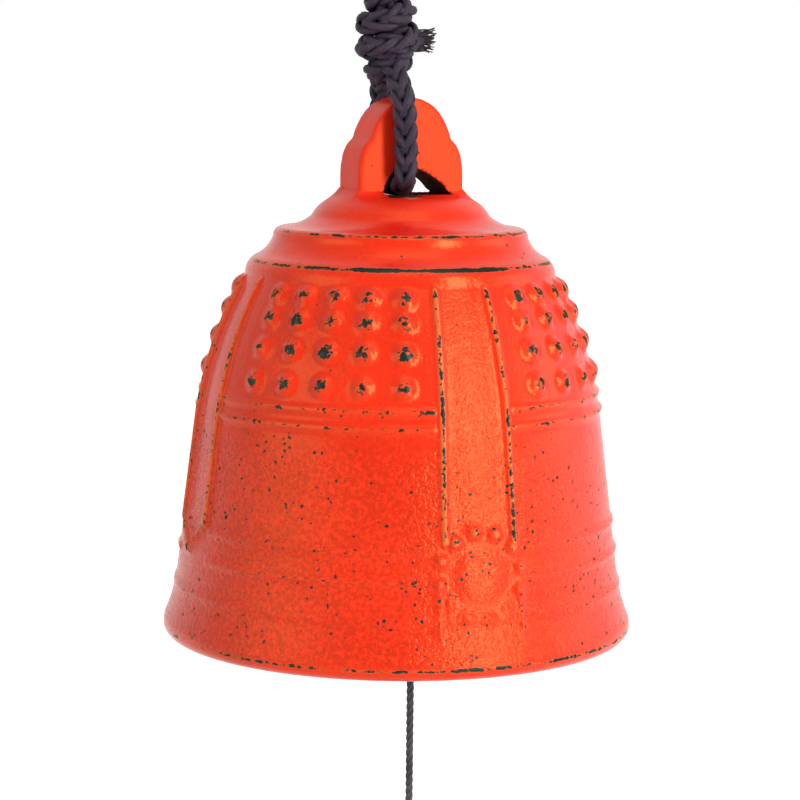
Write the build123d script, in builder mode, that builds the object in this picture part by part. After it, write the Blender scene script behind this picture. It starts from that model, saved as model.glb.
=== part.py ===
from build123d import *

import os
from math import cos, degrees, pi, radians, sin

# A cast-iron wind bell in the shape of a temple bell. It hangs on a braided cord, and holds a clapper
# on a thin string that goes on down to a paper strip.
# Millimetres, +Z up. The origin is the place inside the top of the cord's loop where a hook bears.

# Clearances
clearance = 0.3
seat_gap = 0.05

# Braided cord
cord_diameter = 3.7
cord_leg_spacing = 4.0
hook_radius = 5.0
loop_length = 38.0
loop_straight = 3.4
loop_shank = 9.0
loop_bend = 18.0
knot_height = 13.7
knot_radius = 5.1
knot_end_radius = 3.4
knot_offset = -2.6
knot_above_lug = 3.6
sling_start_rise = 2.4
sling_start_spread = 0.6
sling_offset = -0.8
sling_corner_rise = 1.0
front_leg_lean = -1.5
back_leg_lean = 0.3
sling_top_bend = 4.5
tail_length = 3.2
tail_tilt = 10.0
tail_rise = 3.8

# Lug
lug_width = 16.2
lug_thickness = 8.6
lug_lobe_straight = 3.2
lug_lobe_height = 7.7
lug_lobe_inset = 1.4
lug_lobe_bulge = 0.45
lug_step = 1.2
lug_height = 14.5
lug_root = 1.5
lug_edge_round = 1.5
lug_hole_width = 10.2
lug_hole_height = 5.0
lug_hole_offset = 1.0

# Bell, from the mouth up
mouth_radius = 35.0
lip_round = 1.2
lip_lean = 0.12
lip_thickness = 3.5
lip_drop = 1.5
flare_height = 8.0
flare_hollow = 0.22
foot_radius = 33.0
skirt_height = 23.0
waist_radius = 30.1
panel_height = 21.2
shoulder_radius = 23.0
wall = 2.8

# Stepped shoulder: each step has a rounded edge below a hollow
step_edge_rise = 2.7
step_edge_inset = 1.4
step_edge_bulge = 0.35
lower_hollow_rise = 2.9
lower_hollow_inset = 2.7
upper_edge_rise = 1.4
upper_edge_inset = 1.3
upper_edge_bulge = 0.4
upper_hollow_rise = 1.7
upper_hollow_inset = 4.4
hollow_depth = 0.4
dome_rise = 2.8
dome_inset = 4.0
dome_bulge = 0.6
crown_thickness = 6.5
ceiling_radius = 15.0
ceiling_round = 1.0

# Raised pattern of the casting
band_count = 4
band_half_angle = 9.3
ridge_width = 1.1
ridge_height = 0.45
ridge_foot_rise = 8.8
band_point_drop = 4.6
pattern_root = 0.6
bead_first = 1.95
bead_pitch = 2.45
bead_width = 1.6
bead_top_width = 0.8
boss_columns = 5
boss_column_angle = 11.65
boss_rows = 4
boss_first_row = 2.1
boss_row_pitch = 4.45
boss_sides = 10
boss_radius = 1.8
boss_top_radius = 0.95
boss_height = 0.95
seat_height = 12.1
seat_ring_radius = 7.0
seat_petals = 12
seat_first_angle = 8.0
seat_petal_radius = 1.05
seat_petal_top_radius = 0.55
seat_pad_radius = 4.0
seat_pad_top_radius = 3.2
seat_relief = 0.6

# Clapper's eye, strings and clapper. The eye stands a little to one side, so all that hangs on it does too
string_offset = 2.4
eye_wire = 1.8
eye_half_span = 3.0
eye_drop = 8.2
eye_grip = 4.0
string_diameter = 1.2
knot_ball_radius = 1.6
knot_flat_share = 0.9
clapper_radius = 10.5
clapper_thickness = 6.0
clapper_rim = 2.0
clapper_dish = 1.2
clapper_boss_radius = 3.0
clapper_boss_taper = 0.75
clapper_string_length = 46.0
stop_knot_radius = 1.9
strip_string_length = 32.0

# Paper strip
strip_width = 34.0
strip_length = 112.0
strip_thickness = 0.6
eyelet_below_edge = 6.0
eyelet_bore = 1.6
eyelet_sleeve = 0.5
eyelet_flange = 3.4
eyelet_sheet = 0.35
eyelet_slack = 0.15
strip_loop_half_width = 2.0
strip_loop_bend = 1.3
strip_loop_height = 11.0

# Levels that follow from the sizes above
cord_radius = cord_diameter / 2
string_radius = string_diameter / 2
knot_top = -loop_length
knot_bottom = knot_top - knot_height
lug_top = knot_bottom - knot_above_lug
crown_level = lug_top - lug_height
dome_level = crown_level - dome_rise
upper_edge_level = dome_level - upper_hollow_rise
lower_hollow_level = upper_edge_level - upper_edge_rise
lower_edge_level = lower_hollow_level - lower_hollow_rise
shoulder_level = lower_edge_level - step_edge_rise
waist_level = shoulder_level - panel_height
foot_level = waist_level - skirt_height
lip_level = foot_level - flare_height
mouth_level = lip_level - lip_drop
ceiling_level = crown_level - crown_thickness
sling_level = crown_level + clearance + cord_radius
leg_reach = lug_thickness / 2 + clearance + cord_radius


def cord_tube(points, radii, diameter):
    """A round cord along straight runs and tangent arcs, checked against its section times its length."""
    with BuildPart() as tube:
        with BuildLine() as route:
            path = FilletPolyline(*points, radius=radii)
        with BuildSketch(Plane(path @ 0, z_dir=path % 0)):
            Circle(diameter / 2)
        sweep(path=route.line)
    length = sum(edge.length for edge in route.edges())
    expected = pi * diameter**2 / 4 * length
    print(f"cord {length:.1f} mm long, bend radii {radii}, volume / (section x length) "
          f"{tube.part.volume / expected:.4f}")
    return tube


os.makedirs("parts", exist_ok=True)

# Hanging loop: up from the knot, round the hook and back
hook_reach = hook_radius + cord_radius
near_leg = cord_leg_spacing / 2
loop_points = [
    (knot_offset, -near_leg, knot_top),
    (knot_offset, -near_leg, knot_top + loop_straight),
    (0, -hook_reach, -loop_shank),
    (0, -hook_reach, cord_radius),
    (0, hook_reach, cord_radius),
    (0, hook_reach, -loop_shank),
    (knot_offset, near_leg, knot_top + loop_straight),
    (knot_offset, near_leg, knot_top),
]
hook_bend = hook_reach - seat_gap
loop_bends = [loop_bend, loop_bend, hook_bend, hook_bend, loop_bend, loop_bend]
hanging_loop = cord_tube(loop_points, loop_bends, cord_diameter)
hanging_loop.part.label = "hanging_loop"
export_step(hanging_loop.part, "parts/hanging_loop.step")

# Knot: the outer shape of the cord's wraps round both legs
knot_middle = (knot_bottom + knot_top) / 2
knot_axis = Axis((knot_offset, 0, 0), (0, 0, 1))
with BuildPart() as cord_knot:
    with BuildSketch(Plane.XZ):
        with BuildLine():
            ThreePointArc(
                (knot_offset + knot_end_radius, knot_bottom),
                (knot_offset + knot_radius, knot_middle),
                (knot_offset + knot_end_radius, knot_top),
            )
            Polyline(
                (knot_offset + knot_end_radius, knot_top),
                (knot_offset, knot_top),
                (knot_offset, knot_bottom),
                (knot_offset + knot_end_radius, knot_bottom),
            )
        make_face()
    revolve(axis=knot_axis)
cord_knot.part.label = "cord_knot"
export_step(cord_knot.part, "parts/cord_knot.step")

# Cut end of the cord, sticking out of the knot
tail_start = (knot_offset, 0, knot_bottom + tail_rise)
tail_direction = (cos(radians(tail_tilt)), 0, sin(radians(tail_tilt)))
with BuildPart() as cord_tail:
    with BuildSketch(Plane(tail_start, z_dir=tail_direction)):
        Circle(cord_radius)
    extrude(amount=knot_radius + tail_length)
    add(cord_knot.part, mode=Mode.SUBTRACT)
cord_tail.part.label = "cord_tail"
export_step(cord_tail.part, "parts/cord_tail.step")

# Sling: from inside the knot down the lug's front face, through its hole and up the back face
sling_start_level = knot_bottom + sling_start_rise
corner_level = lug_top + sling_corner_rise
sling_points = [
    (knot_offset, -sling_start_spread, sling_start_level),
    (sling_offset + front_leg_lean, -leg_reach, corner_level),
    (sling_offset, -leg_reach, sling_level),
    (sling_offset, leg_reach, sling_level),
    (sling_offset + back_leg_lean, leg_reach, corner_level),
    (knot_offset, sling_start_spread, sling_start_level),
]
sling_bends = [sling_top_bend, cord_diameter, cord_diameter, sling_top_bend]
sling_tube = cord_tube(sling_points, sling_bends, cord_diameter)
with BuildPart() as lug_sling:
    add(sling_tube.part)
    add(cord_knot.part, mode=Mode.SUBTRACT)
lug_sling.part.label = "lug_sling"
export_step(lug_sling.part, "parts/lug_sling.step")

# Outline of the bell's decorated side, as (radius, level)
foot = (foot_radius, foot_level)
waist = (waist_radius, waist_level)
shoulder = (shoulder_radius, shoulder_level)
with BuildLine() as side_outline:
    skirt_line = Line(foot, waist)
    panel_arc = TangentArc(waist, shoulder, tangent=skirt_line % 1)


def raised(edge, distance, lift):
    """The point that lies a distance along an edge of the side outline, lifted off the surface."""
    point = edge.position_at(distance, position_mode=PositionMode.LENGTH)
    along = edge.tangent_at(distance, position_mode=PositionMode.LENGTH)
    return Vector(point.X + along.Y * lift, point.Y - along.X * lift)


def surface_plane(edge, distance, lift):
    """A plane at that point above the +X side of the bell, facing out of the surface."""
    point = raised(edge, distance, lift)
    outward = raised(edge, distance, lift + 1) - point
    return Plane((point.X, 0, point.Y), x_dir=(0, 1, 0), z_dir=(outward.X, 0, outward.Y))


# Lug: a thick plate with lobed sides, a round arch on top and an arched hole at its foot
lug_arch_radius = lug_width / 2 - lug_lobe_inset - lug_step
lobe_level = crown_level + lug_lobe_height
lobe_top = (lug_width / 2 - lug_lobe_inset, lobe_level)
hole_radius = (lug_hole_width**2 / 4 + lug_hole_height**2) / (2 * lug_hole_height)
hole_center = (lug_hole_offset, crown_level + lug_hole_height - hole_radius)
tunnel_round = cord_diameter - cord_radius - clearance
with BuildPart() as lug:
    with BuildSketch(Plane.XZ):
        with BuildLine():
            spring_level = lug_top - lug_arch_radius
            arch_top = ThreePointArc(
                (-lug_arch_radius, spring_level),
                (0, lug_top),
                (lug_arch_radius, spring_level),
            )
            Polyline(
                arch_top @ 1,
                (lug_arch_radius, crown_level - lug_root),
                (-lug_arch_radius, crown_level - lug_root),
                arch_top @ 0,
            )
        make_face()
    extrude(amount=lug_thickness / 2, both=True)
    rim_edges = lug.edges().filter_by(
        lambda edge: abs(edge.center().Y) > lug_thickness / 4 and edge.center().Z > crown_level
    )
    fillet(rim_edges, lug_edge_round)
    with BuildSketch(Plane.XZ):
        with BuildLine():
            lobe_side = (lug_width / 2, crown_level + lug_lobe_straight)
            Polyline((0, crown_level - lug_root), (lug_width / 2, crown_level - lug_root), lobe_side)
            SagittaArc(lobe_side, lobe_top, -lug_lobe_bulge)
            Line(lobe_top, (0, lobe_level))
            mirror(about=Plane.YZ)
        make_face()
    extrude(amount=lug_thickness / 2, both=True)
    with BuildSketch(Plane.XZ):
        with Locations(hole_center):
            Circle(hole_radius)
    extrude(amount=lug_thickness, both=True, mode=Mode.SUBTRACT)
    tunnel_edges = lug.edges().filter_by(
        lambda edge: edge.geom_type == GeomType.CIRCLE and abs(edge.radius - hole_radius) < seat_gap
    )
    fillet(tunnel_edges, tunnel_round)

# Raised ridges along both edges of the upright bands
with BuildPart() as band_ridge:
    with BuildSketch(Plane.XZ):
        with BuildLine():
            for lift in (ridge_height, -pattern_root):
                Line(raised(skirt_line, ridge_foot_rise, lift), raised(skirt_line, skirt_line.length, lift))
                ThreePointArc(
                    raised(panel_arc, 0, lift),
                    raised(panel_arc, panel_arc.length / 2, lift),
                    raised(panel_arc, panel_arc.length, lift),
                )
            Line(
                raised(skirt_line, ridge_foot_rise, ridge_height),
                raised(skirt_line, ridge_foot_rise, -pattern_root),
            )
            Line(
                raised(panel_arc, panel_arc.length, ridge_height),
                raised(panel_arc, panel_arc.length, -pattern_root),
            )
        make_face()
    extrude(amount=ridge_width / 2, both=True)

# Pointed lower end of the side bands: the ridges run together below the band
point_plane = surface_plane(skirt_line, ridge_foot_rise, 0)
point_radius = raised(skirt_line, ridge_foot_rise, 0).X
band_edge = point_radius * sin(radians(band_half_angle))
point_sag = point_radius * (1 - cos(radians(band_half_angle)))
with BuildPart() as band_point:
    with BuildSketch(point_plane.offset(ridge_height)):
        with BuildLine():
            Polyline(
                (band_edge - ridge_width / 2, 0),
                (band_edge + ridge_width / 2, 0),
                (0, -band_point_drop - ridge_width),
                (-band_edge - ridge_width / 2, 0),
                (-band_edge + ridge_width / 2, 0),
                (0, -band_point_drop),
                close=True,
            )
        make_face()
    extrude(amount=-(ridge_height + pattern_root + point_sag))

# Pair of beads round each panel, between the bands
with BuildPart() as panel_beads:
    with BuildSketch(Plane.XZ):
        for bead_distance in (bead_first, bead_first + bead_pitch):
            with BuildLine():
                Polyline(
                    raised(panel_arc, bead_distance - bead_width / 2, -pattern_root),
                    raised(panel_arc, bead_distance - bead_top_width / 2, ridge_height),
                    raised(panel_arc, bead_distance + bead_top_width / 2, ridge_height),
                    raised(panel_arc, bead_distance + bead_width / 2, -pattern_root),
                    close=True,
                )
            make_face()
    revolve(axis=Axis.Z, revolution_arc=360 / band_count - 2 * band_half_angle)


def frustum(base_radius, top_radius, relief):
    """A many-sided boss with sloping sides, standing on its root inside the wall."""
    with BuildPart() as boss:
        with BuildSketch():
            RegularPolygon(base_radius, boss_sides)
        with BuildSketch(Plane.XY.offset(relief + pattern_root)):
            RegularPolygon(top_radius, boss_sides)
        loft()
    return boss


boss = frustum(boss_radius, boss_top_radius, boss_height)
seat_petal = frustum(seat_petal_radius, seat_petal_top_radius, seat_relief)
seat_pad = frustum(seat_pad_radius, seat_pad_top_radius, seat_relief)

# The casting
with BuildPart() as bell:
    with BuildSketch(Plane.XZ):
        with BuildLine():
            lip_edge = mouth_radius - lip_round
            flare_top = (mouth_radius - lip_lean, lip_level + lip_round)
            Line((mouth_radius - lip_thickness, mouth_level), (lip_edge, mouth_level))
            ThreePointArc((lip_edge, mouth_level), (mouth_radius, lip_level), flare_top)
            SagittaArc(flare_top, foot, flare_hollow)
            add(side_outline.line)
            lower_edge = (shoulder_radius - step_edge_inset, lower_edge_level)
            SagittaArc(shoulder, lower_edge, -step_edge_bulge)
            lower_hollow = (lower_edge[0] - lower_hollow_inset, lower_hollow_level)
            SagittaArc(lower_edge, lower_hollow, hollow_depth)
            upper_edge = (lower_hollow[0] - upper_edge_inset, upper_edge_level)
            SagittaArc(lower_hollow, upper_edge, -upper_edge_bulge)
            upper_hollow = (upper_edge[0] - upper_hollow_inset, dome_level)
            SagittaArc(upper_edge, upper_hollow, hollow_depth)
            crown_edge = (upper_hollow[0] - dome_inset, crown_level)
            SagittaArc(upper_hollow, crown_edge, -dome_bulge)
            Polyline(crown_edge, (0, crown_level), (0, ceiling_level), (ceiling_radius, ceiling_level))
            inner_shoulder = (shoulder_radius - wall, shoulder_level - wall)
            SagittaArc((ceiling_radius, ceiling_level), inner_shoulder, ceiling_round)
            inner_waist = (waist_radius - wall, waist_level)
            inner_foot = (foot_radius - wall, foot_level)
            TangentArc(inner_waist, inner_shoulder, tangent=skirt_line % 1)
            Polyline(inner_waist, inner_foot, (mouth_radius - lip_thickness, mouth_level))
        make_face()
    revolve(axis=Axis.Z)
    add(lug.part)
    for side in (band_half_angle, -band_half_angle):
        with PolarLocations(0, band_count, start_angle=side):
            add(band_ridge.part)
    with PolarLocations(0, 2):
        add(band_point.part)
    with PolarLocations(0, band_count, start_angle=band_half_angle):
        add(panel_beads.part)
    half_field = boss_column_angle * (boss_columns - 1) / 2
    boss_planes = [
        surface_plane(panel_arc, panel_arc.length - boss_first_row - row * boss_row_pitch, -pattern_root)
        for row in range(boss_rows)
    ]
    with PolarLocations(0, band_count, start_angle=180 / band_count):
        with PolarLocations(0, boss_columns, -half_field, 2 * half_field, endpoint=True):
            with Locations(*boss_planes):
                add(boss.part)
    seat_plane = surface_plane(skirt_line, seat_height - flare_height, -pattern_root)
    with PolarLocations(0, 2, start_angle=90):
        with Locations(seat_plane):
            add(seat_pad.part)
    for petal in range(seat_petals):
        petal_angle = radians(seat_first_angle + 360 * petal / seat_petals)
        petal_turn = degrees(seat_ring_radius * cos(petal_angle) / foot_radius)
        petal_rise = seat_height - flare_height + seat_ring_radius * sin(petal_angle)
        with PolarLocations(0, 2, start_angle=90 + petal_turn):
            with Locations(surface_plane(skirt_line, petal_rise, -pattern_root)):
                add(seat_petal.part)
    with BuildSketch(Plane.XY.offset(ceiling_level)):
        with Locations((string_offset - eye_half_span, 0), (string_offset + eye_half_span, 0)):
            Circle(eye_wire / 2 + seat_gap)
    extrude(amount=eye_grip + seat_gap, mode=Mode.SUBTRACT)
bell.part.label = "bell"
export_step(bell.part, "parts/bell.step")
print(f"bell {bell.part.volume / 1000:.1f} cm3, {len(bell.solids())} solid")


def export_hung(part, name):
    """Moves a part to the place of the string, names it and writes it."""
    hung_part = Pos(string_offset, 0, 0) * part
    hung_part.label = name
    export_step(hung_part, f"parts/{name}.step")


# Wire staple cast into the crown
eye_bend_level = ceiling_level - eye_drop + eye_half_span
with BuildPart() as clapper_eye:
    with BuildLine() as eye_path:
        Line((-eye_half_span, 0, ceiling_level + eye_grip), (-eye_half_span, 0, eye_bend_level))
        ThreePointArc(
            (-eye_half_span, 0, eye_bend_level),
            (0, 0, eye_bend_level - eye_half_span),
            (eye_half_span, 0, eye_bend_level),
        )
        Line((eye_half_span, 0, eye_bend_level), (eye_half_span, 0, ceiling_level + eye_grip))
    with BuildSketch(Plane.XY.offset(ceiling_level + eye_grip)):
        with Locations((-eye_half_span, 0)):
            Circle(eye_wire / 2)
    sweep(path=eye_path.line)
export_hung(clapper_eye.part, "clapper_eye")

# String hitched round the lowest point of the eye
eye_level = ceiling_level - eye_drop
hitch_radius = eye_wire / 2 + clearance + string_radius
with BuildPart() as string_loop:
    with BuildSketch(Plane.XZ):
        with Locations((0, eye_level + hitch_radius)):
            Circle(string_radius)
    revolve(axis=Axis((0, 0, eye_level), (1, 0, 0)))
export_hung(string_loop.part, "string_loop")


def knot_ball(level, radius, flat):
    """A round stop knot about the point where a string turns, flat where it rests on something above."""
    with BuildPart() as ball:
        with BuildSketch(Plane.XZ):
            with BuildLine():
                CenterArc((0, level), radius, -90, 180)
                Line((0, level + radius), (0, level - radius))
            make_face()
        revolve(axis=Axis.Z)
        split(bisect_by=Plane.XY.offset(level + flat * radius), keep=Keep.BOTTOM)
    return ball


def hanging_string(top, length):
    """A straight length of string below a level."""
    with BuildPart() as string:
        with BuildSketch(Plane.XY.offset(top - length)):
            Circle(string_radius)
        extrude(amount=length)
    return string


# Knot under the hitch: the clapper's string turns and swings about its middle
swing_level = eye_level - hitch_radius - string_radius - clearance - knot_ball_radius * knot_flat_share
string_knot = knot_ball(swing_level, knot_ball_radius, knot_flat_share)
export_hung(string_knot.part, "string_knot")

# Clapper's string, from the knot down through the clapper
clapper_string_top = swing_level - knot_ball_radius - clearance
clapper_string = hanging_string(clapper_string_top, clapper_string_length)
export_hung(clapper_string.part, "clapper_string")

# Clapper: a turned iron disc with a round rim, dished on top round a small boss
clapper_bottom = clapper_string_top - clapper_string_length
clapper_top = clapper_bottom + clapper_thickness
clapper_bore = string_radius + seat_gap
rim_reach = clapper_radius - clapper_rim
with BuildPart() as clapper:
    with BuildSketch(Plane.XZ):
        with BuildLine():
            Line((clapper_bore, clapper_bottom), (rim_reach, clapper_bottom))
            ThreePointArc(
                (rim_reach, clapper_bottom),
                (clapper_radius, clapper_bottom + clapper_thickness / 2),
                (rim_reach, clapper_top),
            )
            Polyline(
                (rim_reach, clapper_top),
                (clapper_boss_radius, clapper_top - clapper_dish),
                (clapper_boss_radius * clapper_boss_taper, clapper_top),
                (clapper_bore, clapper_top),
                (clapper_bore, clapper_bottom),
            )
        make_face()
    revolve(axis=Axis.Z)
export_hung(clapper.part, "clapper")

# Stop knot under the clapper: the strip's string swings about its middle
strip_swing_level = clapper_bottom - seat_gap - stop_knot_radius * knot_flat_share
clapper_knot = knot_ball(strip_swing_level, stop_knot_radius, knot_flat_share)
export_hung(clapper_knot.part, "clapper_knot")

# String from the clapper to the paper strip
strip_string_top = strip_swing_level - stop_knot_radius - clearance
strip_string = hanging_string(strip_string_top, strip_string_length)
export_hung(strip_string.part, "strip_string")

# Knot at the strip, where it spins
strip_knot_level = strip_string_top - strip_string_length - clearance - knot_ball_radius * knot_flat_share
strip_knot = knot_ball(strip_knot_level, knot_ball_radius, knot_flat_share)
export_hung(strip_knot.part, "strip_knot")

# Loop of string through the eyelet
strip_loop_top = strip_knot_level - knot_ball_radius - seat_gap - string_radius
strip_loop_bottom = strip_loop_top - strip_loop_height
loop_corners = [
    (0, 0, strip_loop_top),
    (0, strip_loop_half_width, strip_loop_top),
    (0, strip_loop_half_width, strip_loop_bottom),
    (0, -strip_loop_half_width, strip_loop_bottom),
    (0, -strip_loop_half_width, strip_loop_top),
]
with BuildPart() as strip_loop:
    with BuildLine() as loop_path:
        FilletPolyline(*loop_corners[1:], radius=strip_loop_bend, close=True)
    with BuildSketch(Plane(loop_corners[0], z_dir=(0, 1, 0))):
        Circle(string_radius)
    sweep(path=loop_path.line)
export_hung(strip_loop.part, "strip_loop")

# Brass eyelet, and the paper strip that it is set in
eyelet_level = strip_loop_bottom + string_radius + eyelet_slack - eyelet_bore
eyelet_outer = eyelet_bore + eyelet_sleeve
sheet_half = strip_thickness / 2 + seat_gap
eyelet_axis = Axis((0, 0, eyelet_level), (0, 1, 0))
with BuildPart() as strip_eyelet:
    with BuildSketch(Plane.XY.offset(eyelet_level)):
        with BuildLine():
            Polyline(
                (eyelet_bore, -sheet_half - eyelet_sheet),
                (eyelet_flange, -sheet_half - eyelet_sheet),
                (eyelet_flange, -sheet_half),
                (eyelet_outer, -sheet_half),
                (eyelet_outer, sheet_half),
                (eyelet_flange, sheet_half),
                (eyelet_flange, sheet_half + eyelet_sheet),
                (eyelet_bore, sheet_half + eyelet_sheet),
                close=True,
            )
        make_face()
    revolve(axis=eyelet_axis)
export_hung(strip_eyelet.part, "strip_eyelet")

strip_top = eyelet_level + eyelet_below_edge
with BuildPart() as paper_strip:
    with BuildSketch(Plane.XZ):
        with Locations((0, strip_top - strip_length / 2)):
            Rectangle(strip_width, strip_length)
        with Locations((0, eyelet_level)):
            Circle(eyelet_outer + seat_gap, mode=Mode.SUBTRACT)
    extrude(amount=strip_thickness / 2, both=True)
export_hung(paper_strip.part, "paper_strip")

print(f"lip level {lip_level:.2f}, crown {crown_level:.2f}, lug top {lug_top:.2f}, sling {sling_level:.2f}")
print(f"swing {swing_level:.2f}, clapper {clapper_bottom:.2f} to {clapper_top:.2f}")
print(f"strip swing {strip_swing_level:.2f}")
print(f"strip spin {strip_knot_level:.2f}, strip {strip_top:.2f} to {strip_top - strip_length:.2f}")
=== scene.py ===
# %% [markdown]
# # A painted cast-iron wind bell
#
# A small bell in the shape of a temple bell hangs on a knotted braided cord. Inside it an iron clapper
# hangs on a string, and the string goes on down to a paper strip that catches the wind.
# The solid model is loaded first, because every piece made here has to lie where its solid lies and
# has to move with the same body.

# %% Load the solid model
from math import atan, cos, pi, radians, sin, tan

import bpy
import numpy as np
from mathutils import Euler, Matrix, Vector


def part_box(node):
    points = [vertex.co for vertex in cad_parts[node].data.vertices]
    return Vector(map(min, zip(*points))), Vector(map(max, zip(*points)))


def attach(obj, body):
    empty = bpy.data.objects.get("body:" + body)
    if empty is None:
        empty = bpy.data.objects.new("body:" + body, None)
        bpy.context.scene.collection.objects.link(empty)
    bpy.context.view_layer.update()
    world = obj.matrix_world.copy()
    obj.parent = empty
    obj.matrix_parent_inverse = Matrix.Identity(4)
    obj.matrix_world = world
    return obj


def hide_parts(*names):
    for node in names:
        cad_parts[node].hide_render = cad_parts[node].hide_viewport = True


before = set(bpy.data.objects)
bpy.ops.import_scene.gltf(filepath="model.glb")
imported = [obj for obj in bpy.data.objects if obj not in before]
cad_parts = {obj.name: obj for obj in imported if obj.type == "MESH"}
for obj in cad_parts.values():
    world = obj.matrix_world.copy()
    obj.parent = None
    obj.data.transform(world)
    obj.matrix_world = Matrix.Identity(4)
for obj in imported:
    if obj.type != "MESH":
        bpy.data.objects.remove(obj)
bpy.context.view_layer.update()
mm = 0.001

# %% [markdown]
# ## The camera
#
# The photograph was taken from a little left of the front and from about the height of the knot, so we
# look down into the shoulder steps and see the mouth as a shallow curve. A camera that is tipped down
# gives this without any lens shift.

# %% Place the camera
camera_distance = 377.2 * mm
camera_turn = radians(21.2)
camera_level = -51.2 * mm
camera_pitch = radians(7.40)
camera_yaw = radians(-0.03)
camera_roll = radians(0.63)
focal_pixels = 2546
bpy.ops.object.select_all(action="DESELECT")
camera_place = (-camera_distance * sin(camera_turn), -camera_distance * cos(camera_turn), camera_level)
bpy.ops.object.camera_add(location=camera_place)
camera = bpy.context.object
aim = Euler((pi / 2 - camera_pitch, 0, -camera_turn + camera_yaw)).to_matrix()
camera.rotation_euler = (aim @ Matrix.Rotation(camera_roll, 3, "Z")).to_euler()
camera.data.sensor_width = 36
camera.data.lens = 36 * focal_pixels / 800
camera.data.clip_start = 0.01
bpy.context.scene.camera = camera
print("camera at", [round(value, 4) for value in camera.location], "lens", round(camera.data.lens, 1), "mm")

# %% [markdown]
# ## Studio
#
# Product light: a tall strip lamp to the right of the camera makes the golden streak down the front of
# the bell, two weaker lamps keep both sides readable, one above lights the steps, and the white room
# fills the rest. The full white is only for what is seen straight, in a mirror or through something clear,
# so the room lights the bell less than it shows.

# %% Light the room
def seen_rays(tree):
    """1 for rays that come straight from the camera, from a mirror or through something clear."""
    path = tree.nodes.new("ShaderNodeLightPath")
    seen = path.outputs["Is Camera Ray"]
    for kind in ("Is Glossy Ray", "Is Transmission Ray"):
        either = tree.nodes.new("ShaderNodeMath")
        either.operation = "MAXIMUM"
        tree.links.new(seen, either.inputs[0])
        tree.links.new(path.outputs[kind], either.inputs[1])
        seen = either.outputs[0]
    return seen


scene = bpy.context.scene
scene.view_settings.view_transform = "Standard"
room = bpy.data.worlds.new("white_room")
scene.world = room
room.use_nodes = True
room_tree = room.node_tree
room_tree.nodes.clear()
seen_white = room_tree.nodes.new("ShaderNodeBackground")
seen_white.inputs["Color"].default_value = (1, 1, 1, 1)
fill_light = room_tree.nodes.new("ShaderNodeBackground")
fill_light.inputs["Color"].default_value = (1, 1, 1, 1)
fill_light.inputs["Strength"].default_value = 0.34
room_mix = room_tree.nodes.new("ShaderNodeMixShader")
room_output = room_tree.nodes.new("ShaderNodeOutputWorld")
room_tree.links.new(seen_rays(room_tree), room_mix.inputs["Fac"])
room_tree.links.new(fill_light.outputs[0], room_mix.inputs[1])
room_tree.links.new(seen_white.outputs[0], room_mix.inputs[2])
room_tree.links.new(room_mix.outputs[0], room_output.inputs["Surface"])


def soft_lamp(name, turn, level, distance, width, tall, power):
    """A flat lamp that faces the bell, turned from the front towards the right."""
    place = (distance * sin(radians(turn)), -distance * cos(radians(turn)), level)
    bpy.ops.object.light_add(type="AREA", location=place)
    lamp = bpy.context.object
    lamp.name = name
    lamp.data.shape = "RECTANGLE"
    lamp.data.size = width
    lamp.data.size_y = tall
    lamp.data.energy = power
    bell_middle = np.array((0, 0, -0.1))
    facing = bell_middle - np.array(place)
    pitch = np.arctan2(np.hypot(facing[0], facing[1]), -facing[2])
    lamp.rotation_euler = (pitch, 0, np.arctan2(facing[1], facing[0]) - pi / 2)
    return lamp


key_lamp = soft_lamp("key_lamp", 22, 0.06, 0.75, 0.2, 0.8, 5.6)
right_lamp = soft_lamp("right_lamp", 72, 0.06, 0.8, 0.5, 0.5, 1.15)
left_lamp = soft_lamp("left_lamp", -80, 0.10, 0.9, 0.6, 0.6, 1.9)
top_lamp = soft_lamp("top_lamp", 0, 0.75, 0.35, 0.6, 0.6, 1.4)
print("lamps:", key_lamp.name, right_lamp.name, left_lamp.name, top_lamp.name)

# %% [markdown]
# ## Writing shaders as sums
#
# Every finish below is a graph of shader nodes. Wiring each Math node by hand hides the idea, so a small
# class stands for one output of a node, and adding or multiplying it adds the Math node for us. Any
# other node comes from one method of the finish: its type, its settings and what goes into it.


# %% A small language for shader nodes
class Wire:
    """One output of a shader node, usable in sums."""

    def __init__(self, finish, socket):
        self.finish = finish
        self.socket = socket

    def math(self, operation, first, second):
        return self.finish.node("ShaderNodeMath", {"operation": operation}, {0: first, 1: second})

    def __add__(self, other):
        return self.math("ADD", self, other)

    def __radd__(self, other):
        return self.math("ADD", other, self)

    def __sub__(self, other):
        return self.math("SUBTRACT", self, other)

    def __rsub__(self, other):
        return self.math("SUBTRACT", other, self)

    def __mul__(self, other):
        return self.math("MULTIPLY", self, other)

    def __rmul__(self, other):
        return self.math("MULTIPLY", other, self)

    def between(self, low, high):
        """0 up to the low value, 1 from the high value on, and smooth in between."""
        settings = {"interpolation_type": "SMOOTHSTEP"}
        return self.finish.node("ShaderNodeMapRange", settings, {0: self, 1: low, 2: high})

    def most(self, other):
        return self.math("MAXIMUM", self, other)


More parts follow.
